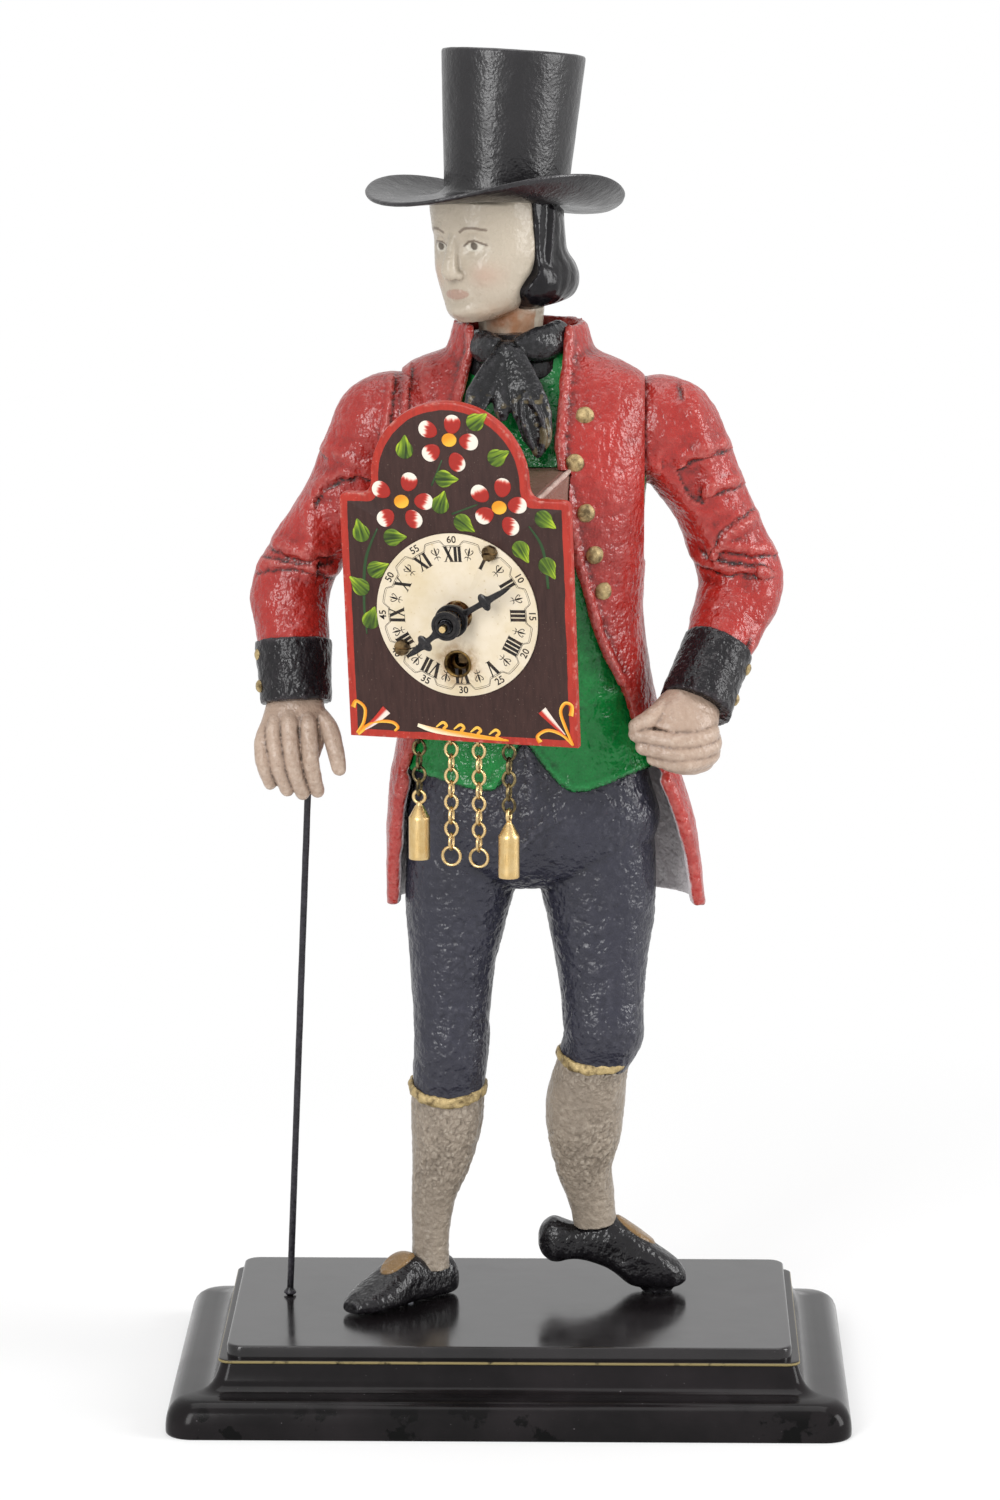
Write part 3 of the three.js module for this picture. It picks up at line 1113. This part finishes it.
// Chains: a closed loop of wire lying in x and z
function wireLoop(points, wire, sides) {
  const rings = points.map((p, i) => {
    const before = points[(i + points.length - 1) % points.length];
    const after = points[(i + 1) % points.length];
    const along = after.clone().sub(before).normalize();
    const inward = along.clone().cross(vec(0, 1, 0));
    return Array.from({ length: sides }, (_, k) => {
      const angle = (2 * Math.PI * k) / sides;
      return p.clone().addScaledVector(inward, wire * Math.cos(angle)).addScaledVector(vec(0, 1, 0), wire * Math.sin(angle));
    });
  });
  return skin(rings, true);
}

// A link of six points, its top at zero height
function linkLoop(half, length) {
  const right = [[0, 0], [half, -length * 0.3], [half, -length * 0.7]];
  const left = right.map(([x, z]) => [-x, -length - z]);
  return [...right, ...left].map(([x, z]) => vec(x, 0, z));
}
const linkPitch = LINK.length - 2 * LINK.wire + LINK.bite;
const ringLoop = (radius, count = 10) => Array.from({ length: count }, (_, i) => {
  const [x, z] = polar(radius, (360 * i) / count);
  return vec(x, 0, z);
});

// The first link hangs in the eye with a clearance, so its hinge lies on the eye's wire
const linkTop = (i) => 2 * LINK.wire + FIT - i * linkPitch;
function chainSolid({ links, weight }) {
  const loops = Array.from({ length: links }, (_, i) => wireLoop(linkLoop(LINK.half, LINK.length), LINK.wire, 4)
    .rotate([0, 0, i % 2 ? 0 : 90]).translate([0, 0, linkTop(i)]));
  if (weight) return Manifold.union(loops);
  const ring = wireLoop(ringLoop(END_RING), LINK.wire, 4)
    .rotate([0, 0, links % 2 ? 0 : 90]).translate([0, 0, linkTop(links) - END_RING]);
  return Manifold.union([...loops, ring]);
}

// The eye's ring, and the shank that goes up through the case
function eyeSolid() {
  const shank = bar(vec(0, 0, EYE_RING.radius - 0.1), vec(0, 0, EYE_RING.radius + EYE_RING.drop + CASE.wall + 1.2),
    EYE_RING.shank, 6);
  return wireLoop(ringLoop(EYE_RING.radius, 8), LINK.wire, 4).add(shank);
}

function weightSolid() {
  const w = WEIGHT;
  const hang = LINK.wire + w.wire + FIT;
  const top = hang - 2 * w.ring - w.wire;
  const profile = [
    [0, top - w.cone - w.body], [w.radius, top - w.cone - w.body], [w.radius, top - w.cone],
    [w.neck, top], [w.neck, top + 0.9], [0, top + 0.9]];
  const body = solid(new THREE.LatheGeometry(profile.map(([r, z]) => new THREE.Vector2(r, z)), 10).rotateX(Math.PI / 2));
  return body.add(wireLoop(ringLoop(w.ring, 8), w.wire, 4).translate([0, 0, hang - w.ring]));
}

// Assembly
const object = new THREE.Group();
const add = (parent, name, body, material, at) => {
  const made = mesh(name, body, material);
  if (at) made.position.set(...at);
  parent.add(made);
  return made;
};

add(object, 'plinth', plinthSolid(), BLACK_LACQUER);
add(object, 'top_plate', plateSolid(), BLACK_LACQUER);
[['foot_screw_right', RIGHT_FOOT_AT], ['foot_screw_left', LEFT_FOOT_AT]].forEach(([name, [x, y]]) => {
  add(object, name, footScrew(), STEEL, [x, y, FOOT_SCREW.headHeight + FIT]);
});

const figure = new THREE.Group();
figure.position.copy(lift);
object.add(figure);

const legs = legsSolid();
add(figure, 'legs_front', largest(legs.intersect(legsFrontMask(0))), BREECHES);
add(figure, 'legs_back', largest(legs.subtract(legsFrontMask(FIT))), BREECHES);
const torso = torsoSolid();
add(figure, 'torso_front', largest(torso.trimByPlane([0, -1, 0], -TORSO_PARTING)), COAT_RED);
add(figure, 'torso_back', largest(torso.trimByPlane([0, 1, 0], TORSO_PARTING + FIT)), COAT_RED);
add(figure, 'right_arm', rightArmSolid(), COAT_RED);
add(figure, 'left_arm', leftArmSolid(), COAT_RED);
add(figure, 'head', headSolid(), FLESH);
add(figure, 'waist_screw', bodyScrew(WAIST_SCREW_AT), STEEL);
add(figure, 'chest_screw', bodyScrew(CHEST_SCREW_AT), STEEL);
add(figure, 'cane', caneSolid(), IRON);

const hat = add(figure, 'hat', hatSolid(), HAT_BLACK);
hatPlace.decompose(hat.position, hat.quaternion, hat.scale);

const clock = new THREE.Group();
clockPlace.decompose(clock.position, clock.quaternion, clock.scale);
figure.add(clock);

add(clock, 'dial_board', boardSolid(), BOARD_PAINT);
add(clock, 'dial', dialSolid(), DIAL_CREAM);
add(clock, 'clock_case', caseSolid(), CASE_BROWN);
DIAL_SCREWS.forEach((at, i) => add(clock, `dial_screw_${i + 1}`, dialScrew(at), STEEL));
CASE_SCREW.heights.forEach((z, i) => add(clock, `case_screw_${i + 1}`, caseScrew(z), STEEL));
add(clock, 'front_plate', frontPlateSolid(), BRASS);
add(clock, 'back_plate', backPlateSolid(), BRASS);
pillarPlaces.forEach((at, i) => add(clock, `pillar_nut_${i + 1}`, pillarNut(at), STEEL));
const greatPlace = [greatAt[0], 0, greatAt[1]];
add(clock, 'great_wheel', greatWheelSolid(), BRASS, greatPlace);
add(clock, 'click', clickSolid(), STEEL, greatPlace);
add(clock, 'winding_arbor', windingArborSolid(), STEEL, greatPlace);
add(clock, 'mainspring', spiral(SPRING), STEEL, greatPlace);
add(clock, 'centre_wheel', centreWheelSolid(), BRASS);
add(clock, 'third_wheel', thirdWheelSolid(), BRASS, [thirdAt[0], 0, thirdAt[1]]);
add(clock, 'escape_wheel', escapeWheelSolid(), BRASS, [escapeAt[0], 0, escapeAt[1]]);
add(clock, 'pallet_lever', leverSolid(), STEEL, [leverAt[0], 0, leverAt[1]]);
add(clock, 'balance_wheel', balanceSolid(), BRASS, [BALANCE.x, 0, BALANCE.z]);
add(clock, 'hairspring', spiral(HAIRSPRING, 8), STEEL, [BALANCE.x, 0, BALANCE.z]);
add(clock, 'cannon_pinion', cannonSolid(), STEEL);
add(clock, 'minute_wheel', minuteWheelSolid(), BRASS, [minuteAt[0], 0, minuteAt[1]]);
add(clock, 'hour_wheel', hourWheelSolid(), BRASS);
add(clock, 'hour_hand', handSolid(HOUR_HAND, HOUR_WHEEL.pipe), HAND_BLACK);
add(clock, 'minute_hand', handSolid(MINUTE_HAND, CANNON.pipe), HAND_BLACK);
add(clock, 'hand_nut', handNut(), BRASS);

CHAINS.forEach((chain, i) => {
  const eyeHeight = CASE.bottom - EYE_RING.drop - EYE_RING.radius;
  add(clock, `chain_eye_${i + 1}`, eyeSolid(), BRASS, [chain.x, EYE_RING.back, eyeHeight]);
  const pivot = vec(chain.x, EYE_RING.back, eyeHeight - EYE_RING.radius).applyMatrix4(clockPlace);
  const hang = add(figure, `chain_${i + 1}`, chainSolid(chain), BRASS, pivot.toArray());
  hang.rotation.z = radians(CLOCK.turn);
  if (!chain.weight) return;
  const low = vec(0, 0, linkTop(chain.links - 1) - LINK.length);
  const weight = add(figure, `weight_${i + 1}`, weightSolid(), BRASS, pivot.clone().add(low).toArray());
  weight.rotation.z = radians(CLOCK.turn + (chain.links % 2 ? 0 : 90));
});

export default object;
